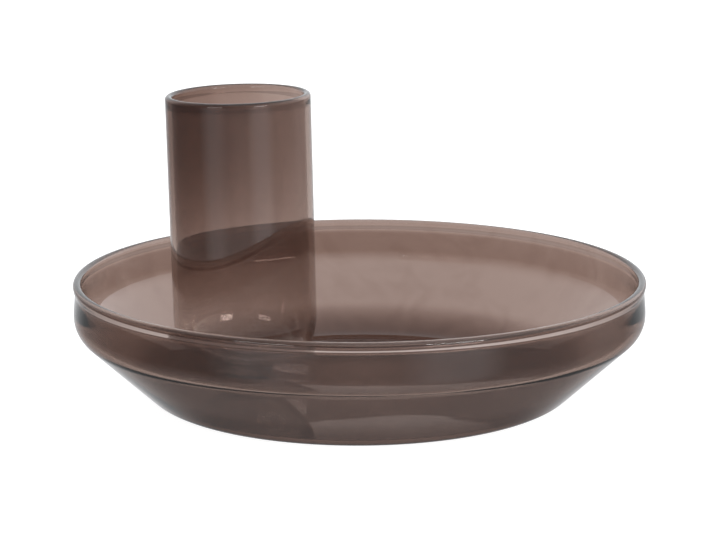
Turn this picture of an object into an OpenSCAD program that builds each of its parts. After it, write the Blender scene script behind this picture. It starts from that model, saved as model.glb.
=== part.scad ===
// Candlestick of smoked glass: a shallow blown dish with a rolled rim, and a
// round-bottomed glass tube for a dinner candle, bonded to the dish's floor to
// one side of the middle. The part stands on z = 0 with the middle of the
// dish's base at the origin, and the tube lies towards -X.

/* [Dish] */
// Outside diameter of the dish, over its upright band and rim
dish_d = 100; // [94:1:140]
// Height of the dish, from the table to the top of its rim
dish_h = 21.1; // [20:0.1:30]
// Height at which the flared side would meet the upright band with no rounding
shoulder_h = 12.9; // [10:0.1:14]
// Slope of the flared side, in degrees from the table
flare_angle = 42.8; // [40:0.1:60]
// Thickness of the dish's glass
dish_wall = 1.2; // [0.9:0.1:2]
// Outside radius of the rounding between the base and the flared side
foot_round = 5.4; // [3:0.1:7]
// Outside radius of the rounding between the flared side and the upright band
shoulder_round = 4.6; // [3:0.1:6]

/* [Rolled rim] */
// Thickness of the rolled bead along the top of the dish
bead_d = 1.46; // [1.4:0.01:1.7]
// Depth of the waist that the rolling leaves under the bead
waist_depth = 0.15; // [0.05:0.01:0.2]

/* [Candle tube] */
// Outside diameter of the tube
tube_d = 25.2; // [22:0.1:27]
// Thickness of the tube's glass
tube_wall = 1; // [0.8:0.05:1.5]
// Length of the tube's straight part, from the dome at its bottom to its lip
tube_straight = 39.2; // [25:0.1:60]
// Distance from the dish's axis to the middle of the tube's dome
tube_offset = 20.15; // [14:0.05:22]
// Outward lean of the hand-set tube, in degrees
tube_lean = 1.1; // [0:0.1:2]

/* [Adhesive] */
// Diameter of the clear adhesive between the tube's dome and the dish
bond_d = 9; // [5:0.5:12]
// Thickness of the adhesive under the lowest point of the dome
bond_gap = 0.15; // [0.05:0.05:0.3]

/* [Hidden] */
$fn = 96;

dish_r = dish_d / 2;
bead_r = bead_d / 2;
tube_r = tube_d / 2;
bore_r = tube_r - tube_wall;
lip_r = tube_wall / 2;

// Radius at which the flared side's straight line would reach the table
foot_corner_r = dish_r - shoulder_h / tan(flare_angle);
// Middle of the foot's rounding, and of the shoulder's
foot_mid = [foot_corner_r - foot_round * tan(flare_angle / 2), foot_round];
shoulder_tangent = shoulder_round * tan((90 - flare_angle) / 2);
shoulder_mid = [dish_r - shoulder_round, shoulder_h + shoulder_tangent];
bead_mid = [dish_r - bead_r, dish_h - bead_r];
// Angles below the bead's middle at which the wall's two faces meet the bead
crease_angle = acos((bead_r - waist_depth) / bead_r);
inner_angle = acos((bead_r - waist_depth - dish_wall) / bead_r);
// Height of the crease where the waist meets the bead outside
crease_z = bead_mid[1] - bead_r * sin(crease_angle);

// Height of the middle of the tube's dome over the table
dome_z = dish_wall + bond_gap + tube_r;

// Numbers of steps along the curves of the dish's outline
arc_steps = 10;
bead_steps = 18;
waist_steps = 6;

// Points along a circular arc about mid, from angle a0 to angle a1
function arc(mid, r, a0, a1, steps) =
    [for (i = [0:steps]) let (a = a0 + (a1 - a0) * i / steps)
        mid + r * [cos(a), sin(a)]];

// The waist eases inwards as half a cosine from the shoulder up to the crease
function waist(inset) =
    let (z0 = shoulder_mid[1], rise = crease_z - z0)
    [for (i = [1:waist_steps]) let (t = i / waist_steps)
        [dish_r - inset - waist_depth * (1 - cos(180 * t)) / 2, z0 + rise * t]];

// One face of the dish's wall from the base to the crease, set in by inset
function wall_face(inset) = concat(
    [[0, inset]],
    arc(foot_mid, foot_round - inset, -90, flare_angle - 90, arc_steps),
    arc(shoulder_mid, shoulder_round - inset, flare_angle - 90, 0, arc_steps),
    waist(inset));

function reversed(points) = [for (i = [len(points) - 1:-1:0]) points[i]];

// Blown dish: its wall in section, turned about the dish's axis
module dish() color([0.52, 0.45, 0.43], 0.55)
    rotate_extrude()
        polygon(concat(
            wall_face(0),
            arc(bead_mid, bead_r, -crease_angle, 360 - inner_angle, bead_steps),
            reversed(wall_face(dish_wall))));

// Straight wall of the tube with a fire-polished, fully rounded lip
module tube_side()
    rotate_extrude()
        polygon(concat(
            [[bore_r, 0], [tube_r, 0]],
            arc([tube_r - lip_r, tube_straight - lip_r], lip_r, 0, 180, 12)));

// Hemispherical bottom of the tube
module tube_dome() difference() {
    sphere(r = tube_r);
    sphere(r = bore_r);
    translate([-tube_r, -tube_r, 0]) cube([tube_d, tube_d, tube_d]);
}

// The tube leans outwards about the middle of its dome, so that the dome
// stands at the same place whatever the lean
module candle_tube() color([0.42, 0.34, 0.33], 0.6)
    translate([-tube_offset, 0, dome_z])
        rotate([0, -tube_lean, 0]) {
            tube_side();
            tube_dome();
        }

// Clear adhesive that fills the narrow space between the dome and the floor
module glue_bond() color([0.85, 0.86, 0.84], 0.5)
    translate([-tube_offset, 0, 0])
        difference() {
            translate([0, 0, dish_wall]) cylinder(d = bond_d, h = tube_r / 2);
            translate([0, 0, dome_z]) sphere(r = tube_r);
        }

dish();
candle_tube();
glue_bond();
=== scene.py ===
"""Smoked-glass candlestick: a blown dish, a round-bottomed candle tube and the adhesive between them.

Each piece is a closed surface turned about its own axis, worked out as whole numpy arrays. All
sizes are in metres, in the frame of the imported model: +Z up, the middle of the dish's base at the
origin, and the tube towards -X.
"""

import logging
import math
from dataclasses import dataclass
from enum import Enum
from typing import Any, Sequence, Union

import bpy
import numpy as np
from mathutils import Matrix, Vector


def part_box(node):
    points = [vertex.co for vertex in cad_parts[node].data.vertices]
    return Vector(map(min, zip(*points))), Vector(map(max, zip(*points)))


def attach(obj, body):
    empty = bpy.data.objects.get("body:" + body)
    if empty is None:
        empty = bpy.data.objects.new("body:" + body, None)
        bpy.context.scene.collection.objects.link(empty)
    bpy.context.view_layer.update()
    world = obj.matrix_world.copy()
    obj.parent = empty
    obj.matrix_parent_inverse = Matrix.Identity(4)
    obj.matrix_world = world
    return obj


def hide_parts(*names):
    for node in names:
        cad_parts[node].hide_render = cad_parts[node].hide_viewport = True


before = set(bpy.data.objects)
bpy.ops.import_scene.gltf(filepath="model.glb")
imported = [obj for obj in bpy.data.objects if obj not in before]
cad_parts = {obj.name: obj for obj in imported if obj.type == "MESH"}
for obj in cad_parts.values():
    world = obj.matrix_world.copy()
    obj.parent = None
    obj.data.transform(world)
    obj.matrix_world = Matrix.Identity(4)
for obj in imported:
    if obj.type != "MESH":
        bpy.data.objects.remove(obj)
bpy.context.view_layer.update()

log = logging.getLogger("candlestick")

MM = 0.001
SENSOR_WIDTH_MM = 36.0
TUBE_RADIUS = 12.6 * MM
TABLE_HALF_WIDTH = 4.0
TABLE_GAP = 0.05 * MM

Array = np.ndarray
Colour = tuple[float, float, float]


# ---------------------------------------------------------------------------
# Shader maths
# ---------------------------------------------------------------------------


class Wire:
    """The output of a shader node, which Python's operators work on by adding Math nodes."""

    def __init__(self, recipe: "Recipe", socket: bpy.types.NodeSocket) -> None:
        """Keeps the recipe that the socket belongs to, and the socket."""
        self.recipe = recipe
        self.socket = socket

    def _maths(self, operation: str, first: Any, second: Any) -> "Wire":
        """Adds one Math node and returns its result."""
        return self.recipe.node(
            "ShaderNodeMath", {"operation": operation}, {0: first, 1: second}
        )

    def __add__(self, other: Any) -> "Wire":
        """self + other."""
        return self._maths("ADD", self, other)

    __radd__ = __add__

    def __sub__(self, other: Any) -> "Wire":
        """self - other."""
        return self._maths("SUBTRACT", self, other)

    def __rsub__(self, other: Any) -> "Wire":
        """other - self."""
        return self._maths("SUBTRACT", other, self)

    def __mul__(self, other: Any) -> "Wire":
        """self * other."""
        return self._maths("MULTIPLY", self, other)

    __rmul__ = __mul__

    def __truediv__(self, other: Any) -> "Wire":
        """self / other."""
        return self._maths("DIVIDE", self, other)

    def __rtruediv__(self, other: Any) -> "Wire":
        """other / self."""
        return self._maths("DIVIDE", other, self)

    def __pow__(self, other: Any) -> "Wire":
        """self to the power of other."""
        return self._maths("POWER", self, other)


class Recipe:
    """The node tree of one material or world, built a node at a time."""

    def __init__(self, owner: Union[bpy.types.Material, bpy.types.World]) -> None:
        """Clears the owner's node tree and gives it nothing but an output."""
        self.owner = owner
        owner.use_nodes = True
        self.tree = owner.node_tree
        self.tree.nodes.clear()
        kind = "World" if isinstance(owner, bpy.types.World) else "Material"
        self.output = self.tree.nodes.new("ShaderNodeOutput" + kind)

    @classmethod
    def of_material(cls, name: str) -> "Recipe":
        """Starts a new material of that name."""
        return cls(bpy.data.materials.new(name))

    def between(self, value: Wire, start: float, stop: float) -> Wire:
        """Rises smoothly from 0 to 1 while value goes from start to stop.

        Args:
            value: the wire that is followed.
            start: where the result is 0.
            stop: where the result is 1, which may lie below start.

        Returns:
            The result's wire.
        """
        return self.node(
            "ShaderNodeMapRange", {"interpolation_type": "SMOOTHSTEP"},
            {"Value": value, "From Min": start, "From Max": stop, "To Min": 0.0, "To Max": 1.0},
        )

    def node(
        self,
        kind: str,
        settings: dict[str, Any] | None = None,
        inputs: dict[Union[str, int], Any] | None = None,
        result: Union[str, int] = 0,
    ) -> Wire:
        """Adds any node.

        Args:
            kind: the node's type, such as "ShaderNodeTexNoise".
            settings: the node's own settings, set before its sockets. "stops" is a colour ramp's
                list of (position, colour).
            inputs: the value or the wire of each socket, by its name or its place.
            result: the name or the place of the output that is wanted.

        Returns:
            The wanted output.
        """
        node = self.tree.nodes.new(kind)
        for name, value in (settings or {}).items():
            if name == "stops":
                self._set_stops(node, value)
            else:
                setattr(node, name, value)
        for name, value in (inputs or {}).items():
            socket = node.inputs[name]
            if isinstance(value, Wire):
                self.tree.links.new(value.socket, socket)
            else:
                socket.default_value = value
        return Wire(self, node.outputs[result])

    @staticmethod
    def _set_stops(ramp: bpy.types.Node, stops: Sequence[tuple]) -> None:
        """Gives a colour ramp its stops.

        Args:
            ramp: the colour ramp node.
            stops: pairs of a position and a colour, in rising order.
        """
        elements = ramp.color_ramp.elements
        while len(elements) < len(stops):
            elements.new(1.0)
        for element, (position, colour) in zip(elements, stops):
            element.position = position
            element.color = colour

    def finish(self, surface: Wire, volume: Wire | None = None) -> Any:
        """Links the surface and the volume to the output.

        Args:
            surface: the surface's shader.
            volume: the shader of the inside, if there is one.

        Returns:
            The material or world that owns the tree.
        """
        self.tree.links.new(surface.socket, self.output.inputs["Surface"])
        if volume is not None:
            self.tree.links.new(volume.socket, self.output.inputs["Volume"])
        return self.owner


# ---------------------------------------------------------------------------
# Surfaces of revolution
# ---------------------------------------------------------------------------


def arc(mid: tuple[float, float], radius: float, start: float, stop: float, count: int) -> Array:
    """Points on a circle: mid plus radius times (cos a, sin a), with a from start to stop in degrees."""
    a = np.radians(np.linspace(start, stop, count))
    return np.column_stack([mid[0] + radius * np.cos(a), mid[1] + radius * np.sin(a)])


def line(start: Sequence[float], stop: Sequence[float], count: int) -> Array:
    """Points between two ends of a straight line, without the ends themselves."""
    t = np.linspace(0.0, 1.0, count + 2)[1:-1, None]
    return (1 - t) * np.asarray(start, float) + t * np.asarray(stop, float)


def turn(meridian: Array, around: int) -> tuple[Array, Array]:
    """Turns a meridian about the Z axis.

    Each point (r, z) becomes a ring of points (r cos a, r sin a, z), with a evenly spread over a
    whole turn. The first and the last point lie on the axis, and become one pole each.

    Args:
        meridian: points (r, z) from the bottom pole, out along the outer face, over the edge and
            in along the inner face to the other pole.
        around: the number of points in a ring.

    Returns:
        The rings' points as an array (rings, around, 3), and the two poles as an array (2, 3).
    """
    a = np.linspace(0.0, 2 * math.pi, around, endpoint=False)
    rings = meridian[1:-1]
    r, z = rings[:, :1], rings[:, 1:]
    points = np.stack([r * np.cos(a), r * np.sin(a), z + 0 * a], axis=-1)
    poles = np.zeros((2, 3))
    poles[:, 2] = meridian[[0, -1], 1]
    return points, poles


def closed_mesh(name: str, rings: Array, poles: Array) -> bpy.types.Object:
    """Makes a closed mesh of rings of points and a pole at either end, with its faces outwards.

    Point j of ring i has the index i * around + j, and each quad joins it with its neighbour in
    the ring and in the next ring. A fan of triangles closes each pole.

    Args:
        name: the new object's name.
        rings: array (rings, around, 3).
        poles: array (2, 3), the first before the first ring and the second after the last.

    Returns:
        The new object, at the origin and linked to the scene.
    """
    count, around = rings.shape[:2]
    index = np.arange(count * around).reshape(count, around)
    after = np.roll(index, -1, axis=1)
    quads = np.stack([index[:-1], after[:-1], after[1:], index[1:]], axis=-1).reshape(-1, 4)
    first, last = count * around, count * around + 1
    start_fan = np.stack([np.full(around, first), after[0], index[0]], axis=-1)
    end_fan = np.stack([np.full(around, last), index[-1], after[-1]], axis=-1)
    fans = np.concatenate([start_fan, end_fan])
    corners = np.concatenate([quads.ravel(), fans.ravel()]).astype(np.int32)
    totals = np.concatenate([np.full(len(quads), 4), np.full(len(fans), 3)]).astype(np.int32)
    starts = np.concatenate([[0], np.cumsum(totals)[:-1]]).astype(np.int32)
    points = np.concatenate([rings.reshape(-1, 3), poles]).astype(np.float32)

    mesh = bpy.data.meshes.new(name)
    mesh.vertices.add(len(points))
    mesh.vertices.foreach_set("co", points.ravel())
    mesh.loops.add(len(corners))
    mesh.loops.foreach_set("vertex_index", corners)
    mesh.polygons.add(len(totals))
    mesh.polygons.foreach_set("loop_start", starts)
    mesh.polygons.foreach_set("use_smooth", np.ones(len(totals), bool))
    mesh.update(calc_edges=True)
    mesh.validate()
    piece = bpy.data.objects.new(name, mesh)
    bpy.context.scene.collection.objects.link(piece)
    return piece


@dataclass(frozen=True)
class Unevenness:
    """The gentle waves that blowing leaves in a glass wall, as a smooth field over space.

    The field is a sum of cosines. Each has its own direction, wavelength and phase, drawn with a
    fixed seed, and their amplitudes fall in step with their wavelengths.
    """

    depth: float
    longest: float
    shortest: float
    waves: int = 9
    seed: int = 7

    def __call__(self, points: Array) -> Array:
        """Adds up the waves.

        Args:
            points: array (..., 3).

        Returns:
            The field's value at each point, an array (...).
        """
        draw = np.random.default_rng(self.seed)
        lengths = np.geomspace(self.longest, self.shortest, self.waves)
        directions = draw.normal(size=(self.waves, 3))
        directions /= np.linalg.norm(directions, axis=1, keepdims=True)
        phases = draw.uniform(0, 2 * math.pi, self.waves)
        weights = lengths / lengths.sum()
        turns = points @ (directions * (2 * math.pi / lengths)[:, None]).T + phases
        return self.depth * np.cos(turns) @ weights


# ---------------------------------------------------------------------------
# Finishes
# ---------------------------------------------------------------------------


@dataclass(frozen=True)
class SmokedGlass:
    """Glossy plum-grey glass: tinted in the mass, with a face tint that varies in strength.

    The mass takes 1 - mass_tint of density per metre out of light on its way. The faces hold the
    rest: light that passes a wall is left exp(-strength * depth) of each colour. Strength follows
    strengths, pairs of a height and the strength there. Per metre, it falls by the share
    sideways * strength from middle_x towards +X, which is painted light on that side, and rises by
    the share backward towards +Y, so the -Y side is painted lighter and the +Y side darker. It
    also falls by the share painted_light_middle towards the Z axis, from painted_light_radius inwards: a
    painted pool of light in the middle.
    """

    name: str
    strengths: tuple[tuple[float, float], ...]
    middle_x: float = 0.0
    # Shares of painted light and shade in the face tint: paler towards +X, darker towards +Y, paler in a
    # disc about the axis.
    sideways_painted_light: float = 0.0
    backward_painted_shade: float = 0.0
    painted_light_middle: float = 0.0
    painted_light_radius: float = 26 * MM
    depth: Colour = (1.30, 1.64, 1.79)
    mass_tint: Colour = (0.39, 0.23, 0.144)
    density: float = 430.0
    index: float = 1.5
    haze: float = 0.012
    wave_height: float = 0.02 * MM
    wave_scale: float = 60.0
    cord_scale: float = 3.2
    cord_share: float = 0.12
    seed_scale: float = 420.0
    seed_share: float = 0.35
    streak_scale: float = 1.4
    streak_range: tuple[float, float] = (0.96, 1.04)
    most_strength: float = 2.0
    stretch: tuple[float, float, float] = (1.0, 1.0, 1.0)

    def material(self) -> bpy.types.Material:
        """Builds the glass: ripples and seeds in its surface, a film of haze, and its tint.

        Returns:
            The new material.
        """
        recipe = Recipe.of_material(self.name)
        place = recipe.node("ShaderNodeTexCoord", result="Object")
        drawn = recipe.node(
            "ShaderNodeMapping", {"vector_type": "POINT"},
            {"Vector": place, "Scale": self.stretch},
        )
        ripple = recipe.node(
            "ShaderNodeTexNoise", {},
            {"Vector": drawn, "Scale": self.wave_scale, "Detail": 2.0, "Roughness": 0.45,
             "Distortion": 0.6},
            "Fac",
        )
        cords = recipe.node(
            "ShaderNodeTexNoise", {},
            {"Vector": drawn, "Scale": self.cord_scale * self.wave_scale, "Detail": 3.0, "Roughness": 0.6,
             "Distortion": 1.5},
            "Fac",
        )
        relief = ripple + self.cord_share * cords - self.seed_share * self._seeds(recipe, place)
        bump = recipe.node(
            "ShaderNodeBump", {},
            {"Height": relief, "Distance": self.wave_height, "Strength": 1.0},
        )
        shader = recipe.node(
            "ShaderNodeBsdfPrincipled", {},
            {"Base Color": self._colour(recipe, place, drawn),
             "Roughness": self._film(recipe, place),
             "IOR": self.index, "Transmission Weight": 1.0, "Normal": bump},
        )
        volume = recipe.node(
            "ShaderNodeVolumeAbsorption", {},
            {"Color": (*self.mass_tint, 1.0), "Density": self.density},
        )
        return recipe.finish(shader, volume)

    def _seeds(self, recipe: Recipe, place: Wire) -> Wire:
        """Tiny open seeds and specks.

        Args:
            recipe: the glass's recipe.
            place: the point on the surface.

        Returns:
            1 in the middle of a few cells of a fine cell pattern, falling to 0 outside.
        """
        cells = {"Vector": place, "Scale": self.seed_scale, "Randomness": 1.0}
        spread = {"voronoi_dimensions": "3D", "feature": "F1"}
        distance = recipe.node("ShaderNodeTexVoronoi", spread, cells, "Distance")
        chance = recipe.node("ShaderNodeTexVoronoi", spread, cells, "Color")
        rare = recipe.node("ShaderNodeSeparateColor", {}, {"Color": chance}, "Red")
        return recipe.between(distance, 0.10, 0.04) * recipe.between(rare, 0.975, 0.985)

    def _colour(self, recipe: Recipe, place: Wire, drawn: Wire) -> Wire:
        """The colour held at the faces, with faint streaks where the melt was a little denser, and with
        painted light and shade in the strength of its tint.

        Args:
            recipe: the glass's recipe.
            place: the point on the surface.
            drawn: the same point, stretched the way that the glass was drawn.

        Returns:
            The colour.
        """
        x, y, z = (
            recipe.node("ShaderNodeSeparateXYZ", {}, {"Vector": place}, axis) for axis in "XYZ"
        )
        low, high = self.strengths[0][0], self.strengths[-1][0]
        levels = [
            ((level - low) / (high - low), (strength, strength, strength, 1.0))
            for level, strength in self.strengths
        ]
        rise = recipe.node(
            "ShaderNodeValToRGB", {"stops": levels}, {"Fac": (z - low) / (high - low)}, "Color"
        )
        rise = recipe.node("ShaderNodeSeparateColor", {}, {"Color": rise}, "Red")
        streak = recipe.node(
            "ShaderNodeTexNoise", {},
            {"Vector": drawn, "Scale": self.streak_scale * self.wave_scale, "Detail": 2.0,
             "Distortion": 2.2},
            "Fac",
        )
        weakest, strongest = self.streak_range
        streaks_and_painted_light = strongest - (strongest - weakest) * recipe.between(streak, 0.3, 0.6)
        # A paler disc about the axis: a painted pool of light, seen through the base.
        if self.painted_light_middle:
            painted_light_disc = recipe.between((x * x + y * y) ** 0.5, self.painted_light_radius, 0.0)
            streaks_and_painted_light = streaks_and_painted_light * (1.0 - self.painted_light_middle * painted_light_disc)
        # Painted light and shade: the tint is paler towards +X and -Y, and darker towards -X and +Y.
        painted_side_light = 1.0 + self.backward_painted_shade * y - self.sideways_painted_light * rise * (x - self.middle_x)
        strength = rise * painted_side_light * streaks_and_painted_light
        steps = np.linspace(0.0, 1.0, 9)
        left = np.exp(-self.most_strength * steps[:, None] * np.array(self.depth))
        stops = [(float(at), (*map(float, rgb), 1.0)) for at, rgb in zip(steps, left)]
        return recipe.node(
            "ShaderNodeValToRGB", {"stops": stops}, {"Fac": strength / self.most_strength}, "Color"
        )

    def _film(self, recipe: Recipe, place: Wire) -> Wire:
        """Roughness: near nothing, and a little more in cloudy patches where the glass was held.

        Args:
            recipe: the glass's recipe.
            place: the point on the surface.

        Returns:
            The roughness.
        """
        patch = recipe.node(
            "ShaderNodeTexNoise", {},
            {"Vector": place, "Scale": 45.0, "Detail": 5.0, "Roughness": 0.65}, "Fac",
        )
        return self.haze * (0.5 + recipe.between(patch, 0.5, 0.75))


@dataclass(frozen=True)
class ClearAdhesive:
    """Cured, water-clear adhesive."""

    name: str = "clear_adhesive"
    index: float = 1.48

    def material(self) -> bpy.types.Material:
        """Builds the adhesive: clear, a little rippled, with a trace of yellow.

        Returns:
            The new material.
        """
        recipe = Recipe.of_material(self.name)
        place = recipe.node("ShaderNodeTexCoord", result="Object")
        ripple = recipe.node(
            "ShaderNodeTexNoise", {}, {"Vector": place, "Scale": 500.0, "Detail": 2.0}, "Fac"
        )
        bump = recipe.node(
            "ShaderNodeBump", {}, {"Height": ripple, "Distance": 0.02 * MM, "Strength": 1.0}
        )
        shader = recipe.node(
            "ShaderNodeBsdfPrincipled", {},
            {"Base Color": (0.98, 0.98, 0.96, 1.0), "Roughness": 0.03 + 0.03 * ripple,
             "IOR": self.index, "Transmission Weight": 1.0, "Normal": bump},
        )
        return recipe.finish(shader)


@dataclass(frozen=True)
class TableTop:
    """The white, faintly glowing table top of a small photo stand."""

    name: str = "table_top"
    paint: Colour = (0.36, 0.36, 0.36)
    satin: float = 0.6
    glow: float = 0.94

    def material(self) -> bpy.types.Material:
        """Builds the table top: white, matt, very slightly mottled, lit from below.

        Returns:
            The new material.
        """
        recipe = Recipe.of_material(self.name)
        place = recipe.node("ShaderNodeTexCoord", result="Object")
        mottle = recipe.node(
            "ShaderNodeTexNoise", {}, {"Vector": place, "Scale": 30.0, "Detail": 3.0}, "Fac"
        )
        shader = recipe.node(
            "ShaderNodeBsdfPrincipled", {},
            {"Base Color": (*self.paint, 1.0), "Roughness": self.satin + 0.04 * mottle,
             "Specular IOR Level": 0.2,
             "Emission Color": (1.0, 1.0, 1.0, 1.0), "Emission Strength": self.glow},
        )
        return recipe.finish(shader)


# ---------------------------------------------------------------------------
# The candlestick
# ---------------------------------------------------------------------------


@dataclass
class BlownDish:
    """The shallow dish: flat base, flared side, short upright band and rolled rim."""

    finish: SmokedGlass
    radius: float
    height: float
    wall: float = 1.2 * MM
    shoulder_height: float = 12.9 * MM
    flare: float = 42.8
    foot_round: float = 5.4 * MM
    shoulder_round: float = 4.6 * MM
    bead: float = 1.46 * MM
    bead_height: float = 2.2 * MM
    neck_depth: float = 0.24 * MM
    neck_length: float = 3.6 * MM
    around: int = 320
    fade_rings: int = 9
    unevenness: Unevenness = Unevenness(0.09 * MM, 55 * MM, 9 * MM)

    def face(self, inset: float) -> Array:
        """One face of the wall from the axis to the shoulder's end, as points (r, z).

        The base is flat, and two arcs round the foot and the shoulder. A face inside the wall
        keeps the arcs' middles and is set in.

        Args:
            inset: how far the face lies inside the outer one.

        Returns:
            The points, array (count, 2).
        """
        foot_corner = self.radius - self.shoulder_height / math.tan(math.radians(self.flare))
        foot_mid = (
            foot_corner - self.foot_round * math.tan(math.radians(self.flare / 2)),
            self.foot_round,
        )
        tangent = self.shoulder_round * math.tan(math.radians((90 - self.flare) / 2))
        shoulder_mid = (self.radius - self.shoulder_round, self.shoulder_height + tangent)
        foot = arc(foot_mid, self.foot_round - inset, -90, self.flare - 90, 16)
        shoulder = arc(shoulder_mid, self.shoulder_round - inset, self.flare - 90, 0, 20)
        start = np.array([[0.0, inset]])
        return np.concatenate([
            start, line(start[0], foot[0], 40), foot, line(foot[-1], shoulder[0], 24), shoulder,
        ])

    def meridian(self) -> Array:
        """The wall's whole section: outer face, neck, bead, inner face.

        Half a cosine draws the band in to the neck, another swells it out to the bead's round
        top, and a third eases the bead's inner side back to the wall.

        Returns:
            Points (r, z) from pole to pole, array (count, 2).
        """
        bead_r = self.bead / 2
        top = (self.radius - bead_r, self.height - bead_r)
        neck_z = self.height - self.bead_height
        outer, inner = self.face(0.0), self.face(self.wall)
        band_top = (self.radius, neck_z - self.neck_length)
        t = np.linspace(0, 1, 16)[1:]
        ease = (1 - np.cos(math.pi * t)) / 2
        band = line(outer[-1], band_top, 6)
        draw_in = np.column_stack([
            self.radius - self.neck_depth * ease, band_top[1] + self.neck_length * t
        ])
        swell = np.column_stack([
            self.radius - self.neck_depth * (1 - ease), neck_z + (top[1] - neck_z) * t
        ])
        bead = arc(top, bead_r, 0, 180, 24)[1:]
        settle = np.column_stack([
            self.radius - self.bead + (self.bead - self.wall) * ease,
            top[1] + (neck_z - top[1]) * t,
        ])
        upright = line(settle[-1], inner[-1], 12)
        return np.concatenate([
            outer, band, [band_top], draw_in, swell, bead, settle, upright, inner[::-1],
        ])

    def build(self) -> bpy.types.Object:
        """Turns the section and lets the inner face wave a little, which varies the wall.

        Returns:
            The finished piece.
        """
        rings, poles = turn(self.meridian(), self.around)
        depth = self.unevenness(rings)
        inner = np.zeros(len(rings))
        inner[-len(self.face(self.wall)) + 1:] = 1.0
        spread = self.fade_rings
        inner = np.convolve(inner, np.ones(spread) / spread, mode="same")[:, None]
        inner[1 - spread:] = 1.0
        rings[..., 2] += inner * depth
        poles[1, 2] += float(self.unevenness(poles[1:])[0])
        piece = closed_mesh("blown_dish", rings, poles)
        piece.data.materials.append(self.finish.material())
        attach(piece, "root")
        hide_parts("dish")
        return piece


@dataclass
class CandleTube:
    """The straight tube with a hemispherical bottom and a fire-polished lip, leaning a little."""

    finish: SmokedGlass
    dome_middle: tuple[float, float, float]
    radius: float = TUBE_RADIUS
    wall: float = 1.0 * MM
    straight: float = 39.2 * MM
    lean: float = 1.1
    lip_swelling: float = 0.28 * MM
    lip_length: float = 1.6 * MM
    around: int = 288
    fade_rings: int = 12
    unevenness: Unevenness = Unevenness(0.05 * MM, 60 * MM, 12 * MM, seed=11)

    def meridian(self) -> Array:
        """The wall's section: outer dome, outer side, rounded lip, bore and inner dome.

        Returns:
            Points (r, z) from pole to pole, with the dome's middle at z = 0, array (count, 2).
        """
        bore = self.radius - self.wall
        thick = self.wall + self.lip_swelling
        lip_mid = (self.radius - thick / 2, self.straight - thick / 2)
        outer_dome = arc((0, 0), self.radius, -90, 0, 48)
        outer_dome[0, 0] = 0.0
        lip = arc(lip_mid, thick / 2, 0, 180, 20)
        t = np.linspace(0, 1, 12)[1:-1]
        swelling = np.column_stack([
            bore - self.lip_swelling * (1 + np.cos(math.pi * t)) / 2,
            lip_mid[1] - self.lip_length * t,
        ])
        bore_top = (bore, lip_mid[1] - self.lip_length)
        inner_dome = arc((0, 0), bore, 0, -90, 48)
        inner_dome[-1, 0] = 0.0
        return np.concatenate([
            outer_dome, line(outer_dome[-1], lip[0], 60), lip, swelling,
            np.array([bore_top]), line(bore_top, inner_dome[0], 58), inner_dome,
        ])

    def build(self) -> bpy.types.Object:
        """Turns the section, waves the bore a little, and leans the tube about its dome's middle.

        Returns:
            The finished piece.
        """
        section = self.meridian()
        rings, poles = turn(section, self.around)
        lip_at = int(np.argmax(section[:, 1])) - 1
        past_lip = np.arange(len(rings)) - lip_at - self.fade_rings
        inner = np.clip(past_lip / float(self.fade_rings), 0, 1)[:, None]
        swell = self.unevenness(rings) * inner / self.radius
        rings[..., :2] *= 1 + swell[..., None]
        lean = math.radians(-self.lean)
        tilt = np.array([
            [math.cos(lean), 0, math.sin(lean)], [0, 1, 0], [-math.sin(lean), 0, math.cos(lean)]
        ])
        rings = rings @ tilt.T + np.array(self.dome_middle)
        poles = poles @ tilt.T + np.array(self.dome_middle)
        piece = closed_mesh("candle_tube_glass", rings, poles)
        piece.data.materials.append(self.finish.material())
        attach(piece, "root")
        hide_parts("candle_tube")
        return piece


@dataclass
class GlueBond:
    """The lens of adhesive between the tube's dome and the dish's floor, with a hollow edge."""

    finish: ClearAdhesive
    dome_middle: tuple[float, float, float]
    dome_radius: float
    floor: float
    radius: float
    clearance: float = 0.01 * MM
    reach_share: float = 0.94
    around: int = 96

    def meridian(self) -> Array:
        """The section: along the floor, up a hollow quarter edge, and back under the dome.

        Returns:
            Points (r, z) from pole to pole, array (count, 2).
        """
        low = self.floor + self.clearance
        dome = self.dome_radius + self.clearance
        reach = self.reach_share * self.radius
        angle = math.degrees(math.acos(reach / dome))
        under = arc((0, self.dome_middle[2]), dome, -angle, -90, 28)
        under[-1, 0] = 0.0
        edge_start = np.array([self.radius, low])
        t = np.linspace(0, 1, 10)[1:-1, None]
        middle = np.array([reach - 0.1 * self.radius, low + 0.35 * (under[0, 1] - low)])
        edge = (1 - t) ** 2 * edge_start + 2 * t * (1 - t) * middle + t**2 * under[0]
        start = np.array([[0.0, low]])
        return np.concatenate([start, line(start[0], edge_start, 14), [edge_start], edge, under])

    def build(self) -> bpy.types.Object:
        """Turns the section about the upright line through the dome's middle.

        Returns:
            The finished piece.
        """
        rings, poles = turn(self.meridian(), self.around)
        shift = np.array([self.dome_middle[0], self.dome_middle[1], 0.0])
        piece = closed_mesh("glue_lens", rings + shift, poles + shift)
        piece.data.materials.append(self.finish.material())
        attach(piece, "root")
        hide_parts("glue_bond")
        return piece


# ---------------------------------------------------------------------------
# The studio
# ---------------------------------------------------------------------------


class Side(Enum):
    """The side of the camera that a softbox stands on, as the sign of its azimuth."""

    LEFT = -1
    RIGHT = 1


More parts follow.
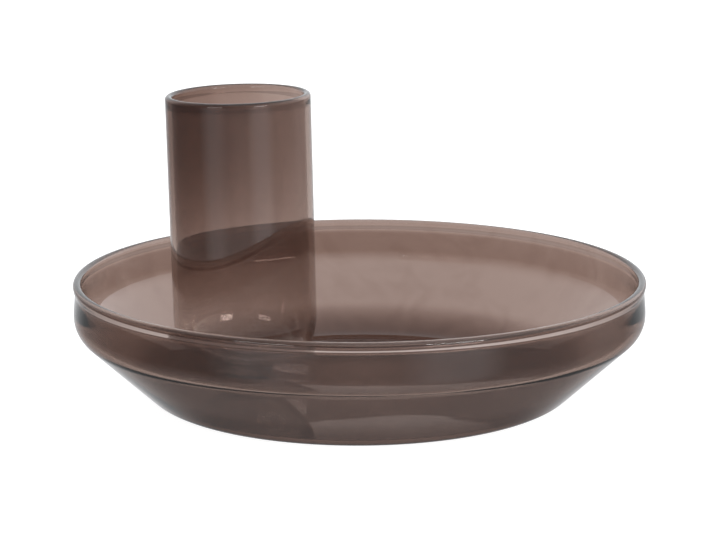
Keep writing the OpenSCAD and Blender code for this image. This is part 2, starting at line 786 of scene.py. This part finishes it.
@dataclass(frozen=True)
class Softbox:
    """A rectangular lamp that faces the candlestick.

    Its place is given by the direction that it stands in, seen from the candlestick. Azimuth 0 is
    the camera's side, and swing is how far round from it the lamp stands, in degrees.
    """

    side: Side
    brightness: float
    swing: float = 36.0
    elevation: float = 15.0
    distance: float = 0.6
    width: float = 0.24
    height: float = 0.10

    def place(self, target: Vector) -> None:
        """Puts the lamp at its distance from target, facing it, with its height upright.

        Args:
            target: the point that the lamp faces.
        """
        name = "softbox_" + self.side.name.lower()
        a, e = math.radians(self.side.value * self.swing), math.radians(self.elevation)
        outward = Vector((
            math.sin(a) * math.cos(e), -math.cos(a) * math.cos(e), math.sin(e)
        ))
        data = bpy.data.lights.new(name, "AREA")
        data.shape = "RECTANGLE"
        data.size = self.width
        data.size_y = self.height
        data.energy = self.brightness * math.pi * self.width * self.height
        lamp = bpy.data.objects.new(name, data)
        lamp.location = target + self.distance * outward
        lamp.rotation_euler = outward.to_track_quat("Z", "Y").to_euler()
        bpy.context.scene.collection.objects.link(lamp)


@dataclass
class Studio:
    """The table, the lamps, the surroundings and the camera."""

    rim_height: float
    table: TableTop = TableTop()
    softboxes: tuple[Softbox, ...] = (Softbox(Side.LEFT, 5.0), Softbox(Side.RIGHT, 10.0))
    tone: Colour = (0.97, 0.98, 1.0)
    middle: float = 0.7
    across: float = 0.4
    behind: float = 0.35
    upward: float = 0.3
    down: float = 0.5
    under: float = 0.45
    deep_blend: tuple[float, float] = (-0.25, -0.75)
    horizon_blend: tuple[float, float] = (-0.04, 0.04)
    ring_gain: float = 2.0
    low_ring: tuple[tuple[float, float], ...] = (
        (-180, 0.50), (-160, 0.36), (-142, 0.16), (-110, 0.10), (-62, 0.14), (-44, 0.50),
        (-32, 0.50), (-15, 0.30), (15, 0.32), (30, 0.65), (46, 0.65), (60, 0.28), (85, 0.24),
        (108, 0.24), (128, 0.12), (160, 0.30), (180, 0.50),
    )
    camera_pitch: float = 12.45
    camera_roll: float = -0.22
    camera_distance: float = 444.5 * MM
    focal_widths: float = 3.521
    aim_above_rim: float = 1.12 * MM
    aim_sideways: float = 0.09 * MM

    def lay_table(self) -> None:
        """Lays the table top as one large square just under the base.

        Glossy reflections pass it by, and find the low surroundings below the horizon instead.
        """
        half, low = TABLE_HALF_WIDTH, -TABLE_GAP
        corners = [(-half, -half, low), (half, -half, low), (half, half, low), (-half, half, low)]
        mesh = bpy.data.meshes.new("table_top")
        mesh.from_pydata(corners, [], [(0, 1, 2, 3)])
        mesh.materials.append(self.table.material())
        table = bpy.data.objects.new("table_top", mesh)
        table.visible_glossy = False
        bpy.context.scene.collection.objects.link(table)

    def surround(self) -> None:
        """Builds the surroundings that light the table and show in the glass.

        Above the horizon, brightness is middle + across * x + behind * y + upward * z of the
        direction. Just below it, it follows the azimuth, and further down it is down - under * y.
        """
        recipe = Recipe(bpy.data.worlds.new("studio"))
        towards = recipe.node("ShaderNodeTexCoord", result="Generated")
        x, y, z = (
            recipe.node("ShaderNodeSeparateXYZ", {}, {"Vector": towards}, axis) for axis in "XYZ"
        )
        above = self.middle + self.across * x + self.behind * y + self.upward * z
        azimuth = recipe.node("ShaderNodeMath", {"operation": "ARCTAN2"}, {0: x, 1: 0 - y})
        stops = [
            (0.5 + degrees / 360, (glow, glow, glow, 1.0)) for degrees, glow in self.low_ring
        ]
        ring = recipe.node(
            "ShaderNodeValToRGB", {"stops": stops}, {"Fac": 0.5 + azimuth / (2 * math.pi)}, "Color"
        )
        ring = recipe.node("ShaderNodeSeparateColor", {}, {"Color": ring}, "Red")
        below = ring * self.ring_gain
        deep = recipe.between(z, *self.deep_blend)
        below = below + (self.down - self.under * y - below) * deep
        over = recipe.between(z, *self.horizon_blend)
        strength = below + (above - below) * over
        glow = recipe.node(
            "ShaderNodeBackground", {}, {"Color": (*self.tone, 1.0), "Strength": strength}
        )
        bpy.context.scene.world = recipe.finish(glow)

    def light(self) -> None:
        """Stands the softboxes round the candlestick."""
        target = Vector((0.0, 0.0, self.rim_height))
        for box in self.softboxes:
            box.place(target)

    def set_camera(self) -> None:
        """Aims the camera down at the rim along the given pitch, from the -Y side."""
        pitch, roll = math.radians(self.camera_pitch), math.radians(self.camera_roll)
        forward = Vector((0.0, math.cos(pitch), -math.sin(pitch)))
        level = Vector((1.0, 0.0, 0.0))
        upright = Vector((0.0, math.sin(pitch), math.cos(pitch)))
        right = math.cos(roll) * level + math.sin(roll) * upright
        up = -math.sin(roll) * level + math.cos(roll) * upright
        aim = Vector((self.aim_sideways, 0.0, self.rim_height + self.aim_above_rim))
        data = bpy.data.cameras.new("camera")
        data.sensor_width = SENSOR_WIDTH_MM
        data.lens = self.focal_widths * SENSOR_WIDTH_MM
        data.clip_start = 0.01
        camera = bpy.data.objects.new("camera", data)
        turned = Matrix((right, up, -forward)).transposed().to_4x4()
        camera.matrix_world = Matrix.Translation(aim - self.camera_distance * forward) @ turned
        bpy.context.scene.collection.objects.link(camera)
        bpy.context.scene.camera = camera
        bpy.context.scene.view_settings.view_transform = "Standard"


def main() -> None:
    """Builds the candlestick and the studio, and reports each piece."""
    logging.basicConfig(level=logging.INFO, format="%(name)s: %(message)s")
    dish_low, dish_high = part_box("dish")
    glue_low, glue_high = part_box("glue_bond")
    tube_low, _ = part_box("candle_tube")
    dome_middle = (
        (glue_low.x + glue_high.x) / 2, (glue_low.y + glue_high.y) / 2, tube_low.z + TUBE_RADIUS
    )
    # Dish tint: strongest at the base, a painted contact shade; paler over the flare, painted light;
    # paler again at the bead's top. The side, back and middle shares paint light and shade as well.
    dish_glass = SmokedGlass(
        "dish_glass",
        ((0.0, 1.60), (3 * MM, 1.30), (6 * MM, 0.69), (13 * MM, 0.64), (15 * MM, 0.84),
         (18.5 * MM, 0.84), (19.5 * MM, 0.54)),
        sideways_painted_light=1.2, backward_painted_shade=7.0, painted_light_middle=0.5,
    )
    # Tube tint: paler towards the bottom and darkest at the lip; the large sideways share paints light on
    # the tube's +X side and shade on its -X side.
    tube_glass = SmokedGlass(
        "tube_glass",
        ((10 * MM, 0.0), (24 * MM, 0.48), (34 * MM, 0.75), (42 * MM, 0.93), (50 * MM, 0.97),
         (52 * MM, 1.00), (53.3 * MM, 1.15)),
        middle_x=dome_middle[0], sideways_painted_light=29.0, density=240.0, stretch=(1.0, 1.0, 0.25),
    )
    dish = BlownDish(dish_glass, radius=dish_high.x, height=dish_high.z)
    tube = CandleTube(tube_glass, dome_middle)
    bond = GlueBond(
        ClearAdhesive(), dome_middle, TUBE_RADIUS, floor=dish.wall,
        radius=(glue_high.x - glue_low.x) / 2,
    )
    studio = Studio(rim_height=dish.height - dish.bead / 2)
    studio.set_camera()
    for piece in (dish.build(), tube.build(), bond.build()):
        log.info("%s: %d points, %d faces", piece.name, len(piece.data.vertices),
                 len(piece.data.polygons))
    studio.lay_table()
    studio.surround()
    studio.light()


if __name__ == "__main__":
    main()
